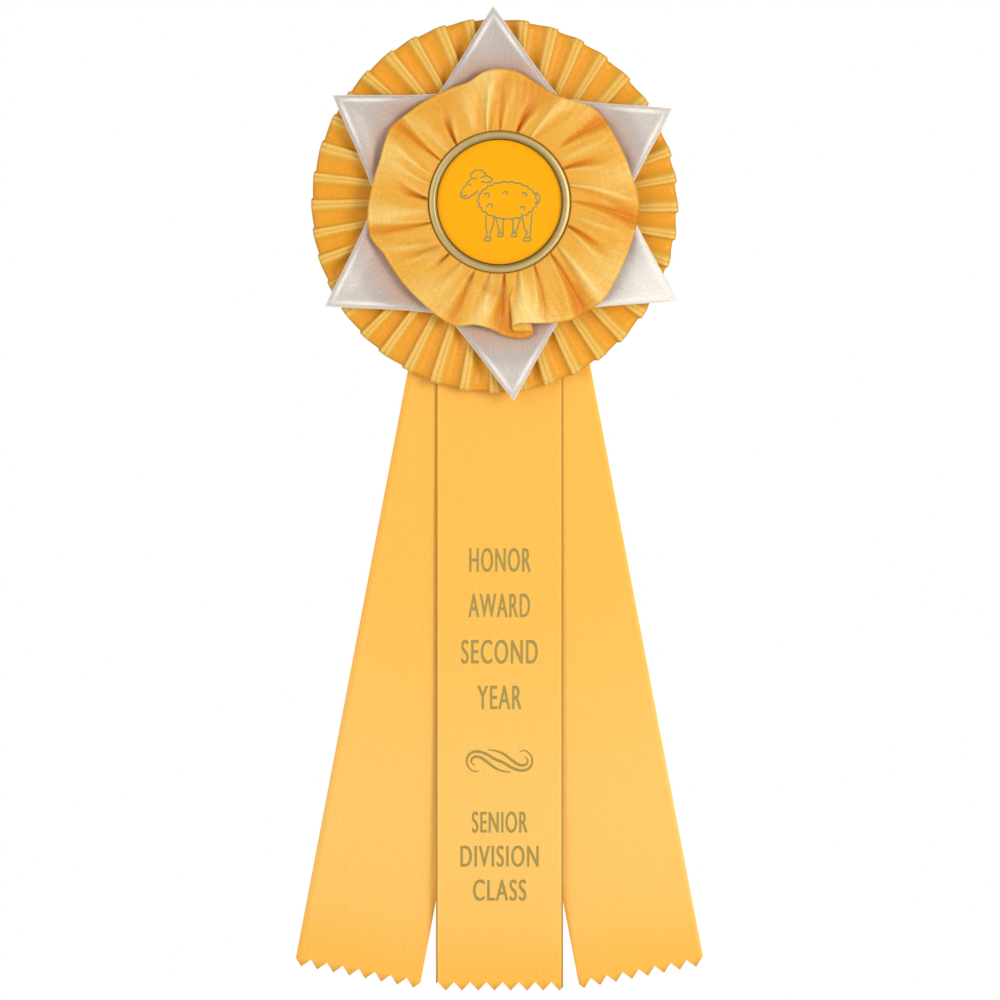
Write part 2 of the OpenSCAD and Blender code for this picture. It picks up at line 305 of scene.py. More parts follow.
def streamer(name, lean, bow, phase, material):
    """A streamer from its stapled head to its pinked foot. bow(x, z) is how far it stands forward."""
    tail, head = f"streamer_{name}_tail", f"streamer_{name}_head"
    low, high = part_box(tail)
    mid_y = (low.y + high.y) / 2
    turn = math.radians(lean)
    drop = Vector((math.sin(turn), 0, -math.cos(turn)))
    side = Vector((math.cos(turn), 0, math.sin(turn)))
    edges = tooth_edges(phase)
    columns, rows = len(edges) - 1, 110
    whole = streamer_length + head_length
    last_row = streamer_length - tooth_depth - 0.2

    def place(across, along):
        x = edges[round(across * columns)]
        down = along * whole - head_length
        # The last row is cut into teeth, and rows that would fall among them stop just above.
        if along > 0.999:
            down = streamer_length - tooth_rise(x, phase)
        elif down > streamer_length - tooth_depth:
            down = last_row
        at = Vector((centre_x, mid_y, fan_z)) + side * (x - ribbon_w / 2) * MM + drop * down * MM
        at.y -= bow(at.x / MM, at.z / MM) * MM
        # Painted light and shade: a paler band low on the streamer and a darker foot, for how the light
        # falls there.
        painted_light_band = math.exp(-((down - 0.8 * streamer_length) / 70) ** 2)
        foot = smooth_step((down - 0.9 * streamer_length) / 30)
        return at, plain_shade - 0.1 * painted_light_band + 0.06 * foot

    cloth = woven(columns, rows, ribbon_w, whole, place, edges)
    piece = made_of(f"streamer_{name}_hung", cloth, material)
    thicken(piece, ribbon_t)
    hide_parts(tail, head)
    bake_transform(piece)


def hang(z):
    """How free a streamer is at height z: 0 where the rosette holds it, 1 near its foot."""
    held_above, free_length = swing_z / MM - 2, 232
    return min(1, max(0, (held_above - z) / free_length)) ** 1.5


def center_bow(x, z):
    """The centre streamer's slow waves, which stand forward."""
    return hang(z) * (1.6 + 0.5 * math.sin(z / 24) + 0.25 * math.cos(x / 11 + z / 40))


def side_bow(x, z):
    """The side streamers' waves, which lie back, clear of the centre one."""
    return -hang(z) * (1.2 + 0.7 * math.sin(z / 31 + x / 50) + 0.4 * math.cos(x / 17))


streamer("left", -fan_lean, side_bow, 0.07, side_satin)
streamer("right", fan_lean, side_bow, 0.22, side_satin)
streamer("center", 0, center_bow, 0.9, center_satin)


# ---------------------------------------------------------------------------------------------
# The staples. Three galvanised wire staples go through the streamers' heads and the card, and
# are clinched behind. The button hides them.


def drawn_steel(name, colour, rough, scratch_mm):
    """Bright drawn or rolled steel: fine lines along it break up a clear reflection."""
    made, tree = new_material(name)
    place = add_node(tree, "ShaderNodeTexCoord").outputs["Object"]
    fine, drawn_out = 1 / (scratch_mm * MM), 20
    stretch = add_node(tree, "ShaderNodeMapping", {"Scale": (fine / drawn_out, fine, fine)},
                       {"Vector": place})
    lines = add_node(tree, "ShaderNodeTexNoise", {"Scale": 1.0, "Detail": 4},
                     {"Vector": stretch.outputs["Vector"]}).outputs["Fac"]
    surface(tree, {"Base Color": srgb(colour), "Metallic": 1.0},
            {"Roughness": spread(tree, lines, rough - 0.08, rough + 0.1),
             "Normal": relief(tree, lines, 0.15, 0.01)})
    return made


galvanised_wire = drawn_steel("galvanised steel wire, drawn", "#B9BCBE", 0.35, 0.15)
finish_node("streamer_staples", galvanised_wire)


# ---------------------------------------------------------------------------------------------
# The outer ruffle. One long ribbon is folded into forty knife pleats, stitched along its inner
# edge, and joined end to end. Each pleat has a flat pressed ridge with a crease along it.

pleats = 40
first_pleat = 2.6
outer_hole, outer_rim = 19.5, 73.4
outer_w, outer_length = 54, 620
ruffle_t = 0.25

# One pleat, going clockwise: share of the pitch, height over the valley, and painted shade: pale painted
# highlight lines on the ridge, darker in the valley.
PLEAT = [
    (0.00, 0.30, 0.75), (0.10, 0.14, 0.90), (0.24, 0.05, 1.00), (0.36, 0.14, 0.85), (0.47, 0.36, 0.60),
    (0.56, 0.66, 0.36), (0.63, 0.88, 0.22), (0.70, 0.95, 0.12), (0.76, 0.88, 0.48), (0.80, 0.94, 0.26),
    (0.84, 1.0, 0.05), (0.90, 0.97, 0.25), (0.935, 0.84, 0.45), (0.925, 0.62, 0.7), (0.93, 0.42, 0.75),
]


def on_rosette(radius, degrees, height):
    """A point so far from the rosette's centre, clockwise from the top, in front of the core card."""
    turn = math.radians(degrees)
    return Vector((centre_x + radius * math.sin(turn) * MM, hub_y - height * MM,
                   centre_z + radius * math.cos(turn) * MM))


def close_ring(cloth):
    """Joins the two ends of a strip that has come round to its start."""
    bmesh.ops.remove_doubles(cloth, verts=cloth.verts, dist=0.001 * MM)
    bmesh.ops.recalc_face_normals(cloth, faces=cloth.faces)


pleat_random = random.Random(4)
pleat_turn = [pleat_random.uniform(-0.7, 0.7) for _ in range(pleats)]
pleat_lift = [pleat_random.uniform(0.86, 1.04) for _ in range(pleats)]
pleat_sway = [pleat_random.uniform(-0.5, 0.5) for _ in range(pleats)]


def pleated(across, along):
    """across runs from the hub, 0, to the rim, 1, and along goes once round. The rim is a little
    taller than wide, and the ruffle is stitched down a little left of the card's middle."""
    count = pleats * len(PLEAT)
    step = round(along * count) % count
    pleat, part = divmod(step, len(PLEAT))
    share, wave, painted_shade = PLEAT[part]
    following = (pleat + 1) % pleats
    turn = blend_of(pleat_turn[pleat], pleat_turn[following], share)
    lift = blend_of(pleat_lift[pleat], pleat_lift[following], share)
    sway = blend_of(pleat_sway[pleat], pleat_sway[following], share)
    lean = 2.6 * (1 - across) + sway * math.sin(3 * across)
    degrees = first_pleat + (pleat + share) * 360 / pleats + turn + lean
    valley, pleat_height = blend_of(0.3, 1.6, across), blend_of(0.8, 3.8, across)
    height = valley + pleat_height * wave * lift
    taller = 0.5 + 0.8 * math.cos(2 * math.radians(degrees))
    scallop = -0.6 * (1 - share) ** 2 * across ** 6 + 0.4 * across ** 8 * wave
    radius = blend_of(outer_hole, outer_rim + taller, across) + scallop
    at = on_rosette(radius, degrees, height)
    left, down = 2.2 - 0.06 * height, 0.6
    at.x -= left * across * MM
    at.z -= down * across * MM
    return at, painted_shade


# Its tones are a painted highlight, the face, and a painted valley shade.
outer_satin = satin("acetate satin ribbon, gold, pleated", ("#EFCA74", "#ECB03A", "#F0A31C"), outer_w,
                    gloss=0.4, lustre=0.1, grain=1.3)
pleated_strip = woven(18, pleats * len(PLEAT), outer_w, outer_length, pleated)
close_ring(pleated_strip)
outer_ruffle = made_of("outer_ruffle_pleated", pleated_strip, outer_satin)
thicken(outer_ruffle, ruffle_t)
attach(outer_ruffle, "rosette")
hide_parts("outer_ruffle")


# ---------------------------------------------------------------------------------------------
# The gathering threads. A twisted polyester thread is drawn round the inner edge of each ruffle
# and pulls its pleats together.


def twisted_thread(name, colour):
    """Spun polyester thread: matte, with plies that turn round it."""
    made, tree = new_material(name)
    place = add_node(tree, "ShaderNodeTexCoord").outputs["Object"]
    ply_mm = 0.4
    surface(tree, {"Base Color": srgb(colour), "Roughness": 0.7, "Sheen Weight": 0.3},
            {"Normal": relief(tree, noise(tree, place, ply_mm, 3), 0.5, 0.05)})
    return made


gold_thread = twisted_thread("spun polyester thread, gold", "#D9A640")
finish_node("outer_gather_thread", gold_thread)
finish_node("inner_gather_thread", gold_thread)


# ---------------------------------------------------------------------------------------------
# The star. Each point is a piece of white acetate satin folded into a triangle, so its sides are
# soft rolled folds, a little hollow, and its face sinks between them. Its woven edges are folded
# away behind, and it is stitched at its base.

star_base = 20
star_back = 2.4
star_slope = 0.1
point_t = 2.2
point_half_apex = math.radians(35)
half_sector = math.radians(30)
sector_gap = 0.5
fold_in = 2.4

# Each point: where it aims, in degrees clockwise from the top, how far its tip reaches, and how grey its
# face is painted: a painted sheen, lighter or darker for how the light takes its threads.
POINTS = [(-1.8, 79.2, 1.0), (61, 79, 0.75), (118.5, 80.8, 0.12), (175.9, 79, 0.8), (239.6, 80.8, 0.75),
          (303.1, 79.6, 0.95)]


def folded_point(aim, reach, painted_sheen_grey, seed):
    """A stuffed triangle: a front face and a back face that meet in a rolled fold."""
    count, rows = 72, 48
    dice = random.Random(seed)
    puckers = [(dice.uniform(-0.7, 0.7), dice.uniform(0.06, 0.12), dice.uniform(-0.1, 0.1))
               for _ in range(6)]
    spin = math.radians(aim)

    def place(across, along):
        """across goes once round the point's section, and along from its base to its tip."""
        # The outline: hollow sides, which stop short of the next point's near the base.
        length = 1 - (1 - along) ** 1.25
        y = blend_of(star_base, reach, length)
        hollow = 1 - 0.06 * math.sin(math.pi * min(1, 1.35 * (1 - length)))
        half = (reach - y) * math.tan(point_half_apex) * hollow + 0.05
        half = min(half, y * math.tan(half_sector) - sector_gap)

        # The section: a roll along each fold, and a face that sinks and puckers between them.
        turn = across * 2 * math.pi
        u = math.copysign(abs(math.cos(turn)) ** 0.8, math.cos(turn))
        front = math.sin(turn) >= 0
        inward = (1 - abs(u)) * half
        full = min(1, half / 9)
        roll = (1 - (1 - min(1, inward / (0.3 + 2.4 * full))) ** 2) ** 0.5
        sink = 0.65 * smooth_step((inward - fold_in) / 9) * full
        lift = roll * (1 - sink) if front else -0.2 * roll
        stitched = smooth_step((58 - y) / 20)
        for where, wide, deep in puckers:
            lift += deep * math.exp(-((u - where) / wide) ** 2) * roll * stitched if front else 0
        thick = blend_of(1.3, point_t, smooth_step((y - 30) / 12)) * (0.35 + 0.65 * full)
        height = star_back + star_slope * (y - star_base) + 0.4 + thick * lift
        x = u * half * math.cos(spin) + y * math.sin(spin)
        z = -u * half * math.sin(spin) + y * math.cos(spin)

        # The painted shade: a painted highlight along the folds and at the edges, and a painted warm
        # reflection where the gold ruffle shines on the base.
        gleam = math.exp(-((inward - fold_in) / 0.8) ** 2) * min(1, full * 1.6)
        face = plain_shade * painted_sheen_grey * (1 - 0.95 * gleam) * smooth_step(inward / 0.8)
        glow = 0.3 + 0.55 * min(0.8, painted_sheen_grey)
        painted_ruffle_glow = smooth_step((67 - y) / 18) * smooth_step(inward / 4)
        at = Vector((centre_x + x * MM, hub_y - height * MM, centre_z + z * MM))
        return at, blend_of(face, glow, painted_ruffle_glow)

    # The cloth's threads run straight over the whole point, so its UVs are laid flat.
    shell = woven(count, rows, 1, 1, place)
    uv = shell.loops.layers.uv.active
    for face in shell.faces:
        for loop in face.loops:
            x, z = (loop.vert.co.x - centre_x) / MM, (loop.vert.co.z - centre_z) / MM
            loop[uv].uv = (x * math.cos(spin) - z * math.sin(spin), x * math.sin(spin) + z * math.cos(spin))
    bmesh.ops.remove_doubles(shell, verts=shell.verts, dist=0.002 * MM)
    bmesh.ops.holes_fill(shell, edges=shell.edges)
    bmesh.ops.recalc_face_normals(shell, faces=shell.faces)
    return shell


# Taken as the ribbon's width, this keeps the woven edges off the points.
folded_away = 400
# Its tones are a painted highlight, the grey face, and a painted warm reflection of the gold ruffle.
white_satin = satin("acetate satin ribbon, white", ("#FCF4E9", "#C4B9B1", "#D09A76"), folded_away,
                    gloss=0.32, lustre=0.15, grain=2.0)
for number, (aim, reach, painted_sheen_grey) in enumerate(POINTS, 1):
    point = made_of(f"star_point_{number}_folded", folded_point(aim, reach, painted_sheen_grey, number), white_satin)
    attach(point, "rosette")
    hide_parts(f"star_point_{number}")


# ---------------------------------------------------------------------------------------------
# The inner ruffle. A narrower ribbon is gathered on its thread, not pleated, so its folds run out
# uneven from under the button and its rim rolls. One fold laps over itself below the button.

inner_hole = 15.6
inner_w, inner_length = 38, 420
rim_height = 5.3
under_button = 0.12
even_shade = 0.36

# The rim, clockwise: degrees, radius, and how far it stands forward, rim_height in the mean.
RIM = [
    (0, 54.2, 5.6), (8, 53.4, 4.4), (18, 50.4, 3.6), (27, 49.3, 4.4), (34, 50.4, 5.6),
    (42, 53.2, 6.0), (50, 54.2, 4.0), (60, 53.6, 5.0), (70, 53.8, 5.8), (78, 54.2, 6.4),
    (88, 55.8, 4.6), (96, 55.6, 3.8), (104, 55.2, 5.0), (112, 55.0, 5.8), (122, 55.4, 6.4),
    (132, 56.6, 5.6), (140, 55.8, 4.0), (148, 54.6, 5.0), (156, 52.0, 6.4), (162, 50.2, 7.2),
    (167.5, 48.8, 7.6), (172.5, 48.6, 7.0), (173.5, 51.0, 5.6), (167.2, 52.3, 4.8), (165.4, 53.7, 3.8),
    (169.5, 54.7, 3.2), (176.5, 53.3, 3.4), (184, 50.2, 5.4), (192, 49.4, 6.6), (200, 52.0, 5.2),
    (209, 51.2, 5.8), (219, 50.2, 6.4), (228, 50.0, 5.8), (237, 50.0, 5.2), (247, 50.6, 5.6),
    (256, 53.4, 5.2), (266, 52.9, 6.2), (276, 51.8, 5.4), (288, 51.0, 6.2), (297, 52.0, 6.4),
    (305, 53.3, 4.6), (313, 52.0, 5.4), (321, 51.2, 5.0), (330, 50.6, 4.4), (338, 50.3, 5.0),
    (346, 50.5, 6.0), (353, 53.2, 6.6),
]

# The creases: degrees at the hub and at the rim, half width in degrees, height (negative for a
# valley), and the stretch from the button's edge, 0, to the rim, 1, that each one fills.
CREASES = [
    (0, 2, 2.2, -1.3, -0.2, 0.9), (14, 20, 2.8, -2.6, -0.3, 0.62), (26, 31, 3.6, 1.5, -0.2, 1.1),
    (46, 51, 2.0, -1.5, 0.1, 1.2), (56, 58, 4.0, 0.9, 0.0, 0.9), (62, 69, 2.4, -2.4, -0.3, 0.6),
    (76, 90, 2.6, 1.6, -0.2, 1.0), (89, 97, 2.0, -1.5, -0.1, 1.2), (101, 104, 2.6, 1.0, 0.0, 0.8),
    (109, 117, 2.6, -2.5, -0.3, 0.66), (126, 134, 3.0, 1.7, -0.1, 1.1), (135, 143, 2.2, -1.8, -0.2, 1.2),
    (151, 159, 2.0, -1.5, -0.3, 1.0), (163, 168, 3.2, 1.6, -0.2, 0.9), (176, 181, 2.6, -2.0, -0.2, 1.0),
    (186, 189, 2.6, 1.4, -0.2, 0.9), (200, 203, 2.2, -1.6, -0.1, 1.1), (211, 215, 3.0, 1.0, -0.2, 0.7),
    (224, 228, 2.4, -2.2, -0.4, 0.38), (231, 240, 1.8, 1.0, -0.1, 0.8), (238, 249, 1.8, 1.0, 0.0, 0.9),
    (234, 244, 1.6, -0.8, -0.1, 0.8), (253, 258, 2.0, -1.6, -0.3, 1.2), (263, 264, 4.4, 1.0, 0.0, 0.9),
    (272, 284, 2.8, -2.7, -0.3, 0.55), (284, 292, 2.0, 1.2, -0.1, 0.8), (291, 300, 2.0, 1.2, 0.0, 0.9),
    (305, 308, 1.8, -1.6, -0.3, 1.2), (314, 315, 3.6, 0.7, -0.2, 0.9), (323, 331, 2.4, -2.5, -0.3, 0.6),
    (339, 343, 4.2, 0.9, 0.0, 0.9), (350, 357, 2.4, 1.7, -0.2, 0.9),
]

# Height of the ribbon over the core card, from the button's edge, 0, to the rim, 1.
RISE = [(0, 6.2), (0.003, 10.6), (0.02, 11.2), (0.15, 11.4), (0.35, 11.6), (0.7, 11.1), (1, 10.3)]
hub_height = 5.45
button_z = (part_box("center_disc")[0].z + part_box("center_disc")[1].z) / 2
button_edge = 28.4


def eased(table, where):
    """Reads a table of places and values between its rows, easing from each to the next."""
    for before, after in zip(table, table[1:]):
        if where <= after[0]:
            share = (where - before[0]) / (after[0] - before[0])
            return blend_of(before[1], after[1], smooth_step(share))
    return table[-1][1]


def curve_round(table, where):
    """A smooth closed curve through a table's rows, where from 0 to 1 (Catmull-Rom)."""
    count = len(table)
    spot = where % 1 * count
    row, t = int(spot), spot % 1
    found = []
    for column in range(3):
        a, b, c, d = [table[(row + k) % count][column] + (360 * ((row + k) // count) if column == 0 else 0)
                      for k in (-1, 0, 1, 2)]
        found.append(0.5 * (2 * b + (c - a) * t + (2 * a - 5 * b + 4 * c - d) * t * t
                            + (3 * b - a - 3 * c + d) * t ** 3))
    return found


def crease_profile(off):
    """A crease's height, off its line by so many of its widths. It is steep on one side, and on the
    other the cloth swells a little the opposite way."""
    steep = 0.7 if off < 0 else 1.3
    return math.exp(-abs(off / steep) ** 1.4) - 0.45 * math.exp(-((off - 2.1) / 1.0) ** 2)


def gathered(strip, along):
    """strip runs from the hub, 0, to the rim, 1, and along goes once round. The first share of the
    strip, under_button, lies flat beneath the button."""
    along %= 1
    rim_deg, rim_r, rim_h = curve_round(RIM, along)
    if strip < under_button:
        at = on_rosette(blend_of(inner_hole, button_edge, strip / under_button), along * 360, hub_height)
        at.z += button_z - centre_z
        # Under the button the ribbon takes the darkest painted shade.
        return at, 1
    outer = ((strip - under_button) / (1 - under_button)) ** 1.5
    degrees = blend_of(along * 360, rim_deg, smooth_step(outer / 0.5))
    ripple = 0.1 * math.sin(degrees * 1.7 + 5 * outer) * outer
    fold = (rim_h - rim_height) * 0.8 * smooth_step(outer) + ripple
    for hub_deg, edge_deg, wide, lift, start, end in CREASES:
        off = (degrees - blend_of(hub_deg, edge_deg, outer) + 180) % 360 - 180
        half_width = wide * (0.4 + 0.8 * outer)
        if abs(off) < 5 * half_width:
            reach = smooth_step((outer - start) / 0.25) * smooth_step((end + 0.2 - outer) / 0.6)
            fold += lift * crease_profile(off / half_width) * reach * smooth_step(0.3 + outer / 0.1)
    # Painted shade: lighter on the folds' ridges, darker in their valleys.
    shade = even_shade - (0.2 if fold > 0 else 0.36) * fold
    at = on_rosette(blend_of(button_edge, rim_r, outer), degrees, eased(RISE, outer) + fold)
    at.z += (button_z - centre_z) * (1 - outer)
    return at, min(1, max(0, shade))


# Its tones are a painted highlight, the face, and a painted fold shade.
inner_satin = satin("acetate satin ribbon, gold, gathered", ("#F9D57E", "#ECAC3A", "#E0891C"), inner_w,
                    gloss=0.4, lustre=0.1, grain=2.2)
gathered_strip = woven(44, 640, inner_w, inner_length, gathered)
close_ring(gathered_strip)
inner_ruffle = made_of("inner_ruffle_gathered", gathered_strip, inner_satin)
thicken(inner_ruffle, ruffle_t)
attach(inner_ruffle, "rosette")
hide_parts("inner_ruffle")


# ---------------------------------------------------------------------------------------------
# The button's inside. A felt plug fills the hub, and a stamped steel plate, whose prongs go
# through the core card, carries a chipboard spacer. None of it shows.


def pressed_felt(name, colour):
    """Pressed wool felt: matte, with loose fibres that catch the light."""
    made, tree = new_material(name)
    place = add_node(tree, "ShaderNodeTexCoord").outputs["Object"]
    fibre_mm = 0.8
    fibres = noise(tree, place, fibre_mm, 6, distortion=1.5)
    surface(tree, {"Base Color": srgb(colour), "Roughness": 0.95, "Sheen Weight": 0.5},
            {"Normal": relief(tree, fibres, 0.8, 0.2)})
    return made


finish_node("hub_spacer", pressed_felt("wool felt, pressed", "#CFC3A4"))
finish_node("button_spacer", grey_board)
finish_node("button_plate", drawn_steel("tinned steel sheet, rolled", "#BFC0C0", 0.3, 0.3))


# ---------------------------------------------------------------------------------------------
# The disc. A round of card with a flat printed yellow-orange face, on which a sheep is stamped in
# dull gold foil.


def tinted(tree, colour, tone):
    """A colour, made lighter and darker by a tone around 1."""
    made = add_node(tree, "ShaderNodeVectorMath", {0: srgb(colour)[:3]}, {1: tone}, operation="MULTIPLY")
    return made.outputs["Vector"]


def printed_card(name, ink):
    """Coated card, offset printed: nearly even, matte, with a faint tooth."""
    made, tree = new_material(name)
    place = add_node(tree, "ShaderNodeTexCoord").outputs["Object"]
    tooth_mm = 0.4
    tooth = noise(tree, place, tooth_mm, 3)
    surface(tree, {"Roughness": 0.6, "IOR": 1.2},
            {"Base Color": tinted(tree, ink, spread(tree, tooth, 0.97, 1.03)),
             "Normal": relief(tree, tooth, 0.1, 0.02)})
    return made


def foil(name, colour, rough):
    """Hot-stamped foil: a dull metal film that follows the grain beneath and breaks up a little."""
    made, tree = new_material(name)
    place = add_node(tree, "ShaderNodeTexCoord").outputs["Object"]
    grain_mm = 0.5
    grain = noise(tree, place, grain_mm, 3)
    surface(tree, {"Roughness": rough, "Metallic": 0.3},
            {"Base Color": tinted(tree, colour, spread(tree, grain, 0.85, 1.1, Min=0.3, Max=0.7)),
             "Normal": relief(tree, grain, 0.3, 0.03)})
    return made


finish_node("center_disc", printed_card("coated card, printed yellow-orange", "#FFAE0A"))

disc_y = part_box("center_disc")[0].y
dull_foil = foil("stamping foil, dull gold, on card", "#A39A5C", 0.45)
line_w = 0.66
print_t = 0.12


def as_mesh(piece, place):
    """Turns a text or curve object into a mesh and stands it in its place."""
    bpy.context.view_layer.update()
    graph = bpy.context.evaluated_depsgraph_get()
    mesh = bpy.data.meshes.new_from_object(piece.evaluated_get(graph))
    mesh.transform(place)
    name = piece.name
    bpy.data.objects.remove(piece)
    made = bpy.data.objects.new(name, mesh)
    bpy.context.scene.collection.objects.link(made)
    return made


def facing_front(y, z, wide=1.0):
    """Stands a flat drawing in millimetres up, facing -Y, on the rosette's middle line."""
    return (Matrix.Translation((centre_x, y, z)) @ Matrix.Rotation(math.pi / 2, 4, "X")
            @ Matrix.Diagonal((MM * wide, MM, MM * print_t, 1)))


def line_drawing(name, strokes, width, thin_ends=1.0):
    """A drawing of smooth strokes, each a list of points, as thin raised lines. A stroke that ends
    where it began is closed."""
    curve = bpy.data.curves.new(name, "CURVE")
    curve.dimensions = "3D"
    curve.bevel_depth = width / 2
    curve.bevel_resolution = 2
    curve.use_fill_caps = True
    curve.resolution_u = 5
    for stroke in strokes:
        spline = curve.splines.new("BEZIER")
        spline.use_cyclic_u = stroke[0] == stroke[-1]
        knots = stroke[:-1] if spline.use_cyclic_u else stroke
        spline.bezier_points.add(len(knots) - 1)
        for index, (knot, (x, y)) in enumerate(zip(spline.bezier_points, knots)):
            knot.co = (x, y, 0)
            knot.radius = blend_of(thin_ends, 1, math.sin(math.pi * index / (len(knots) - 1)))
            knot.handle_left_type = "AUTO"
            knot.handle_right_type = "AUTO"
    made = bpy.data.objects.new(name, curve)
    bpy.context.scene.collection.objects.link(made)
    return made


def fleece(x, y, across, up, start, end, curls, swell):
    """Points of a woolly outline: small curls along part of an ellipse, clockwise degrees. They are
    rounded, so that a full turn ends exactly where it began."""
    points = []
    for k in range(2 * curls + 1):
        turn = math.radians(blend_of(start, end, k / (2 * curls)))
        out = 1 + (swell if k % 2 else 0)
        points.append((round(x + across * out * math.sin(turn), 4), round(y + up * out * math.cos(turn), 4)))
    return points


def curl(x, y, size, turn):
    """A lock of wool: a small hook."""
    spin = math.radians(turn)
    hook = [(-1, 0), (-0.5, 0.6), (0.3, 0.5), (0.5, -0.1), (0, -0.3)]
    return [(x + size * (a * math.cos(spin) - b * math.sin(spin)),
             y + size * (a * math.sin(spin) + b * math.cos(spin))) for a, b in hook]


def leg(x, top, foot, wide, step):
    """A leg: down one side to the hoof and up the other, and the line over the hoof. step is how far
    forward the foot is."""
    knee = blend_of(top, foot, 0.55)
    ankle = foot + 2.2
    mid = x - step
    outline = [
        (x - wide, top), (x - wide * 0.75 - step * 0.4, knee + 1.4), (x - wide * 0.7 - step * 0.6, knee),
        (mid - wide * 0.35, knee - 1.2), (mid - wide * 0.4, ankle), (mid - wide * 0.65, foot + 1.2),
        (mid - wide * 0.95, foot + 0.25), (mid - wide * 0.9, foot), (mid + wide * 0.35, foot),
        (mid + wide * 0.45, foot + 0.3), (mid + wide * 0.35, foot + 1.2), (mid + wide * 0.3, ankle),
        (mid + wide * 0.4, knee - 1.0), (x + wide * 0.6 - step * 0.5, knee + 1.0), (x + wide, top),
    ]
    return outline, [(mid - wide * 0.65, foot + 1.2), (mid + wide * 0.35, foot + 1.1)]


# The sheep: body, face, ear, topknot, eye, nostril, mouth, tail, locks and legs, in millimetres.
SHEEP = [
    fleece(3.2, 0.6, 11.4, 7.2, 0, 360, 22, 0.055),
    [(-8.9, 9.4), (-11.2, 9.2), (-13.4, 6.8), (-15.4, 3.8), (-15.2, 2.0), (-13.4, 1.4), (-10.6, 2.9),
     (-8.6, 4.4)],
    [(-7.6, 9.6), (-5.6, 10.4), (-3.2, 9.4), (-3.0, 8.6), (-5.2, 7.8), (-7.4, 8.2)],
    fleece(-8.4, 10.4, 2.8, 2.2, -100, 100, 4, 0.16),
    [(-12.4, 6.7), (-11.9, 7.0), (-11.4, 6.6)],
    [(-15.0, 3.1), (-14.5, 3.3)],
    [(-14.8, 2.2), (-13.8, 2.4), (-13.0, 2.9)],
    [(14.4, 4.0), (15.9, 2.6), (16.0, 0.4), (15.0, -0.8)],
    curl(-4.8, 2.6, 1.4, 0), curl(-3.6, -1.6, 1.4, 20), curl(10.2, 2.8, 1.3, -20), curl(9.4, -2.6, 1.3, 10),
    curl(2.6, 3.4, 1.2, 0),
    *leg(-3.6, -5.4, -15.4, 1.9, 0.7), *leg(0.2, -6.3, -13.6, 1.6, -0.6),
    *leg(7.0, -6.2, -13.6, 1.6, 0.8), *leg(11.0, -4.6, -15.4, 2.1, -0.6),
]

sheep = as_mesh(line_drawing("disc_foil_sheep", SHEEP, line_w),
                facing_front(disc_y - 0.01 * MM, button_z))
sheep.data.materials.append(dull_foil)
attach(sheep, "rosette")


# ---------------------------------------------------------------------------------------------
# The bezel. A ring stamped and spun from brass sheet, crimped over the plate. It has been given an
# antique finish, which rubs off on the crown. The dark at the disc's edge and down the outer wall is antique
# finish and painted shadow both.


def antique_brass(name, metal, patina_and_shadow, bright):
    """Brass, antiqued and lacquered: round turning marks, and dark finish where the attribute shade asks,
    which also paints shadow along the walls.
    """
    made, tree = new_material(name)
    place = add_node(tree, "ShaderNodeTexCoord").outputs["Object"]
    moved = add_node(tree, "ShaderNodeMapping", {"Location": (-centre_x, 0, -button_z)}, {"Vector": place})
    parts = add_node(tree, "ShaderNodeSeparateXYZ", links={"Vector": moved.outputs["Vector"]})
    flat = add_node(tree, "ShaderNodeCombineXYZ", links={"X": parts.outputs["X"], "Y": parts.outputs["Z"]})
    radius = add_node(tree, "ShaderNodeVectorMath", links={0: flat.outputs["Vector"]}, operation="LENGTH")
    turning_mm = 0.25
    marks = add_node(tree, "ShaderNodeTexNoise", {"Scale": 1 / (turning_mm * MM), "Detail": 2},
                     {"W": radius.outputs["Value"]}, noise_dimensions="1D").outputs["Fac"]
    blotch_mm = 4
    blotches = noise(tree, place, blotch_mm, 4)
    patina_and_shadow_mask = add_node(tree, "ShaderNodeAttribute", attribute_name="shade")
    base = add_node(tree, "ShaderNodeMix", {6: srgb(metal), 7: srgb(bright)}, {0: blotches},
                    data_type="RGBA")
    colour = add_node(tree, "ShaderNodeMix", {7: srgb(patina_and_shadow)},
                      {0: patina_and_shadow_mask.outputs["Fac"], 6: base.outputs[2]}, data_type="RGBA")
    surface(tree, {"Metallic": 0.9},
            {"Base Color": colour.outputs[2], "Roughness": spread(tree, marks, 0.4, 0.55),
             "Normal": relief(tree, marks, 0.25, 0.03)})
    return made


# Its section: radius and height over the core card in millimetres, and how dark it is painted: antique
# finish in its corners, and painted shadow down its outer wall and at the disc's edge.
BEZEL = [
    (26.9, 6.7, 0.8), (25.7, 6.7, 0.8), (25.7, 6.1, 0.8), (27.6, 6.1, 0.7), (28.1, 6.5, 0.6),
    (28.3, 7.1, 0.6), (28.3, 9.6, 0.6), (28.3, 11.2, 0.3), (28.27, 11.9, 0.1), (28.1, 12.25, 0.0),
    (27.6, 12.5, 0.0), (27.0, 12.6, 0.1), (26.4, 12.58, 0.25), (25.95, 12.5, 0.3), (25.75, 12.35, 0.5),
    (25.65, 12.2, 0.4), (25.4, 12.1, 0.3), (25.3, 12.0, 0.85), (25.1, 11.8, 1.0), (24.9, 11.5, 1.0),
    (24.9, 10.7, 1.0), (26.9, 10.7, 1.0),
]


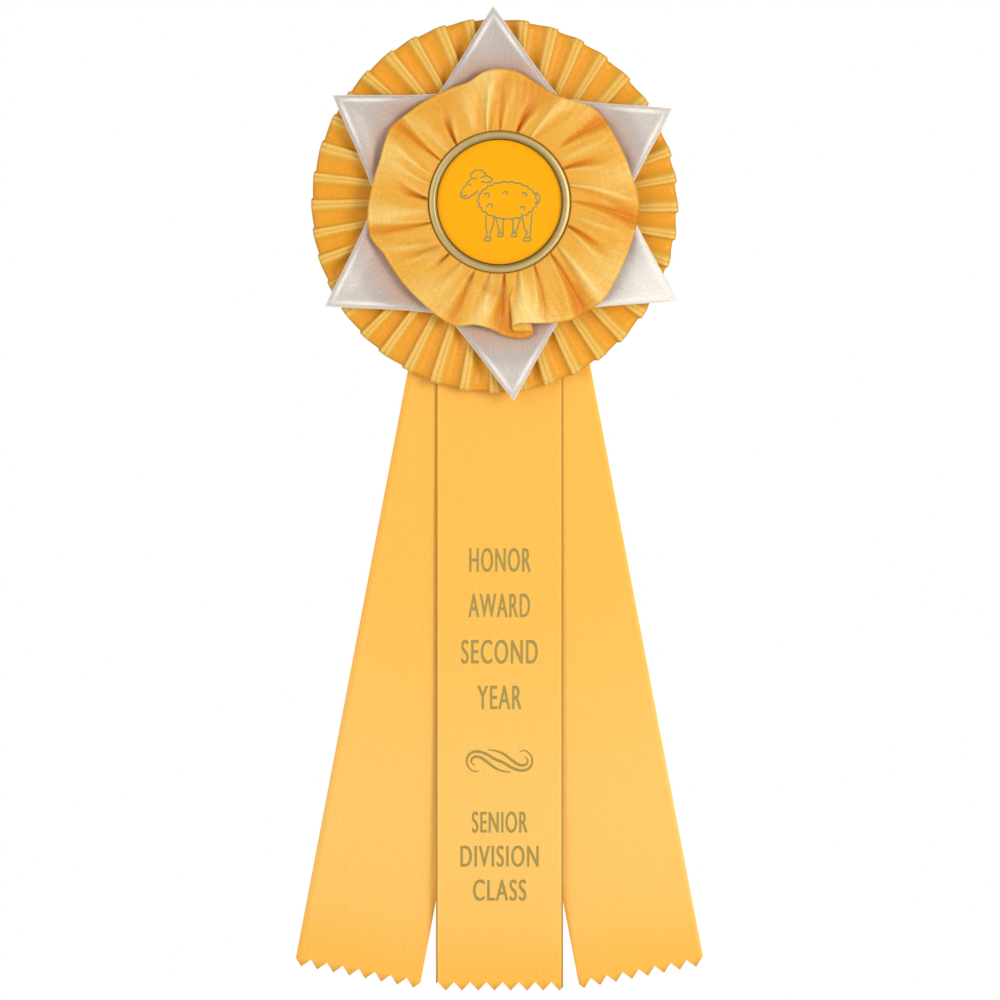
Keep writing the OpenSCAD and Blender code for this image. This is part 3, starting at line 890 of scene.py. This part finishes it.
def turned_ring(section):
    """Spins a section round the rosette's axis."""
    ring = bmesh.new()
    shade = ring.verts.layers.float.new("shade")
    loop = [ring.verts.new((centre_x, hub_y - height * MM, button_z + radius * MM))
            for radius, height, _ in section]
    for vert, (_, _, patina_and_shadow) in zip(loop, section):
        vert[shade] = patina_and_shadow
    edges = [ring.edges.new((a, b)) for a, b in zip(loop, loop[1:] + loop[:1])]
    bmesh.ops.spin(ring, geom=loop + edges, cent=(centre_x, hub_y, button_z), axis=(0, 1, 0),
                   angle=math.tau, steps=144, use_merge=True)
    bmesh.ops.recalc_face_normals(ring, faces=ring.faces)
    return ring


bezel = made_of("center_bezel_turned", turned_ring(BEZEL),
                antique_brass("brass, antiqued", "#CBB070", "#4A3C1E", "#DCC78C"))
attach(bezel, "rosette")
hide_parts("center_bezel")


# ---------------------------------------------------------------------------------------------
# The print on the centre streamer. Plain award wording and a scroll are hot-stamped on the satin
# in dull gold foil, so they bend with the ribbon.

tail_low, tail_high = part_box("streamer_center_tail")
print_y = (tail_low.y + tail_high.y) / 2 - (ribbon_t / 2 + 0.02) * MM
satin_foil = foil("stamping foil, dull gold, on satin", "#AE974E", 0.55)

# Each line: the words, the height of its middle over the rosette's centre, the capitals' height
# and the line's width.
WORDING = [
    ("HONOR", -142.6, 9.5, 24.4), ("AWARD", -160.8, 9.5, 24.4), ("SECOND", -179.3, 9.5, 30.4),
    ("YEAR", -197.6, 9.5, 17.5), ("SENIOR", -247.4, 8.4, 22), ("DIVISION", -261, 8.4, 31),
    ("CLASS", -274.6, 8.4, 21),
]


def on_streamer(piece):
    """Lays print on the centre streamer's face, and fixes it there."""
    for vert in piece.data.vertices:
        vert.co.y -= center_bow(vert.co.x / MM, vert.co.z / MM) * MM
    piece.data.materials.clear()
    piece.data.materials.append(satin_foil)
    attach(piece, "center_streamer")


def print_line(words, z, cap, width):
    """One line of condensed capitals, struck twice side by side to make them bold."""
    cap_share, baseline_drop, strike = 0.69, 0.4, 0.35 * MM
    font = bpy.data.curves.new("print_" + words.lower(), "FONT")
    font.body = words
    font.align_x = "CENTER"
    font.align_y = "CENTER"
    font.size = cap / cap_share
    font.space_character = 1.14
    font.extrude = 0.1
    made = bpy.data.objects.new("print_" + words.lower(), font)
    bpy.context.scene.collection.objects.link(made)
    bpy.context.view_layer.update()
    squeeze = width / made.dimensions.x
    middle_z = centre_z + (z - baseline_drop) * MM
    line = as_mesh(made, facing_front(print_y, middle_z, squeeze))
    letters = bmesh.new()
    letters.from_mesh(line.data)
    second = bmesh.ops.duplicate(letters, geom=letters.faces[:] + letters.edges[:] + letters.verts[:])
    moved = [part for part in second["geom"] if isinstance(part, bmesh.types.BMVert)]
    bmesh.ops.translate(letters, verts=letters.verts, vec=(-strike / 2, 0, 0))
    bmesh.ops.translate(letters, verts=moved, vec=(strike, -0.005 * MM, 0.08 * MM))
    letters.to_mesh(line.data)
    letters.free()
    return line


for words, z, cap, width in WORDING:
    on_streamer(print_line(words, z, cap, width))


# Half of a pen flourish's long stroke, and its short stroke, in millimetres. The rest is the same
# turned half round.
LONG_STROKE = [(-8.1, -3.7), (-9.8, -4.2), (-12.0, -2.9), (-13.1, 0), (-12.1, 2.6), (-9.4, 3.8),
               (-5.5, 2.9), (-1.7, 0.7)]
SHORT_STROKE = [(-10.0, -1.8), (-11.3, -0.2), (-10.5, 1.4), (-8.2, 1.6), (-4.9, -0.4), (-1.7, -2.8),
                (1.6, -4.1), (4.6, -4.5)]


def turned(stroke):
    """A stroke turned half round the flourish's middle, end to start."""
    return [(-x, -y) for x, y in reversed(stroke)]


flourish = as_mesh(line_drawing("print_flourish", [LONG_STROKE + turned(LONG_STROKE), SHORT_STROKE,
                                                   turned(SHORT_STROKE)], 1.15, thin_ends=0.35),
                   facing_front(print_y, centre_z - 222.8 * MM))
on_streamer(flourish)


# ---------------------------------------------------------------------------------------------
# The back. A round of white-lined board is glued over the streamers' heads, and a nickelled bar
# pin is stuck to it on a foam pad. Its needle turns on a rivet and lies in an open catch.

finish_node("back_card", chipboard("chipboard, white lined", "#EBE5D9", "#E2DBCC"))


def foam(name, colour):
    """Closed-cell polyethylene foam: matte skin with fine pits."""
    made, tree = new_material(name)
    place = add_node(tree, "ShaderNodeTexCoord").outputs["Object"]
    cell_mm = 0.35
    cells = add_node(tree, "ShaderNodeTexVoronoi", {"Scale": 1 / (cell_mm * MM)}, {"Vector": place})
    surface(tree, {"Base Color": srgb(colour), "Roughness": 0.8},
            {"Normal": relief(tree, cells.outputs["Distance"], 0.5, 0.08)})
    return made


finish_node("pin_pad", foam("polyethylene foam, white", "#EFEFEA"))
finish_node("pin_base", drawn_steel("steel sheet, nickel plated", "#CFC9BC", 0.25, 0.4))
bright_wire = drawn_steel("steel wire, polished", "#C9CBCD", 0.2, 0.2)
finish_node("pin_needle", bright_wire)
finish_node("pin_hinge_rivet", bright_wire)


# ---------------------------------------------------------------------------------------------
# The studio. A pale floor under the streamers, an even white surround, a soft light from the right,
# a weaker one from the left and one behind, and a level camera in front.

floor_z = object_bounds()[0].z - 40 * MM
floor_shape = bmesh.new()
bmesh.ops.create_grid(floor_shape, x_segments=1, y_segments=1, size=3)
bmesh.ops.translate(floor_shape, verts=floor_shape.verts, vec=(0, 0, floor_z))
floor_paint, floor_tree = new_material("studio floor, pale")
surface(floor_tree, {"Base Color": srgb("#E9E9E7"), "Roughness": 0.9}, {})
made_of("floor", floor_shape, floor_paint)

world = bpy.data.worlds.new("studio")
bpy.context.scene.world = world
world.use_nodes = True
world.node_tree.nodes.clear()
seen = add_node(world.node_tree, "ShaderNodeLightPath").outputs["Is Camera Ray"]
surround = add_node(world.node_tree, "ShaderNodeBackground", {"Color": (1, 1, 1, 1)},
                    {"Strength": spread(world.node_tree, seen, 0.51, 1.0)})
add_node(world.node_tree, "ShaderNodeOutputWorld", links={"Surface": surround.outputs["Background"]})


def soft_light(name, place, size, power):
    """A square softbox that looks at the middle of the award."""
    lamp = bpy.data.lights.new(name, "AREA")
    lamp.size = size
    lamp.energy = power
    made = bpy.data.objects.new(name, lamp)
    made.location = place
    aim = Vector((0, 0, -0.12)) - Vector(place)
    made.rotation_euler = aim.to_track_quat("-Z", "Y").to_euler()
    bpy.context.scene.collection.objects.link(made)


soft_light("key", (0.9, -1.15, 0.05), 0.6, 9)
soft_light("fill", (-0.9, -1.0, 0.2), 0.8, 4)
soft_light("rim", (0.3, 0.9, 0.8), 0.6, 5)

lens = bpy.data.cameras.new("camera")
lens.type = "ORTHO"
lens.ortho_scale = 0.4
lens.clip_end = 10
camera = bpy.data.objects.new("camera", lens)
camera.location = (0.2 * MM, -1.5, -136.4 * MM)
camera.rotation_euler = (math.pi / 2, 0, 0)
bpy.context.scene.collection.objects.link(camera)
bpy.context.scene.camera = camera
bpy.context.scene.view_settings.view_transform = "Standard"
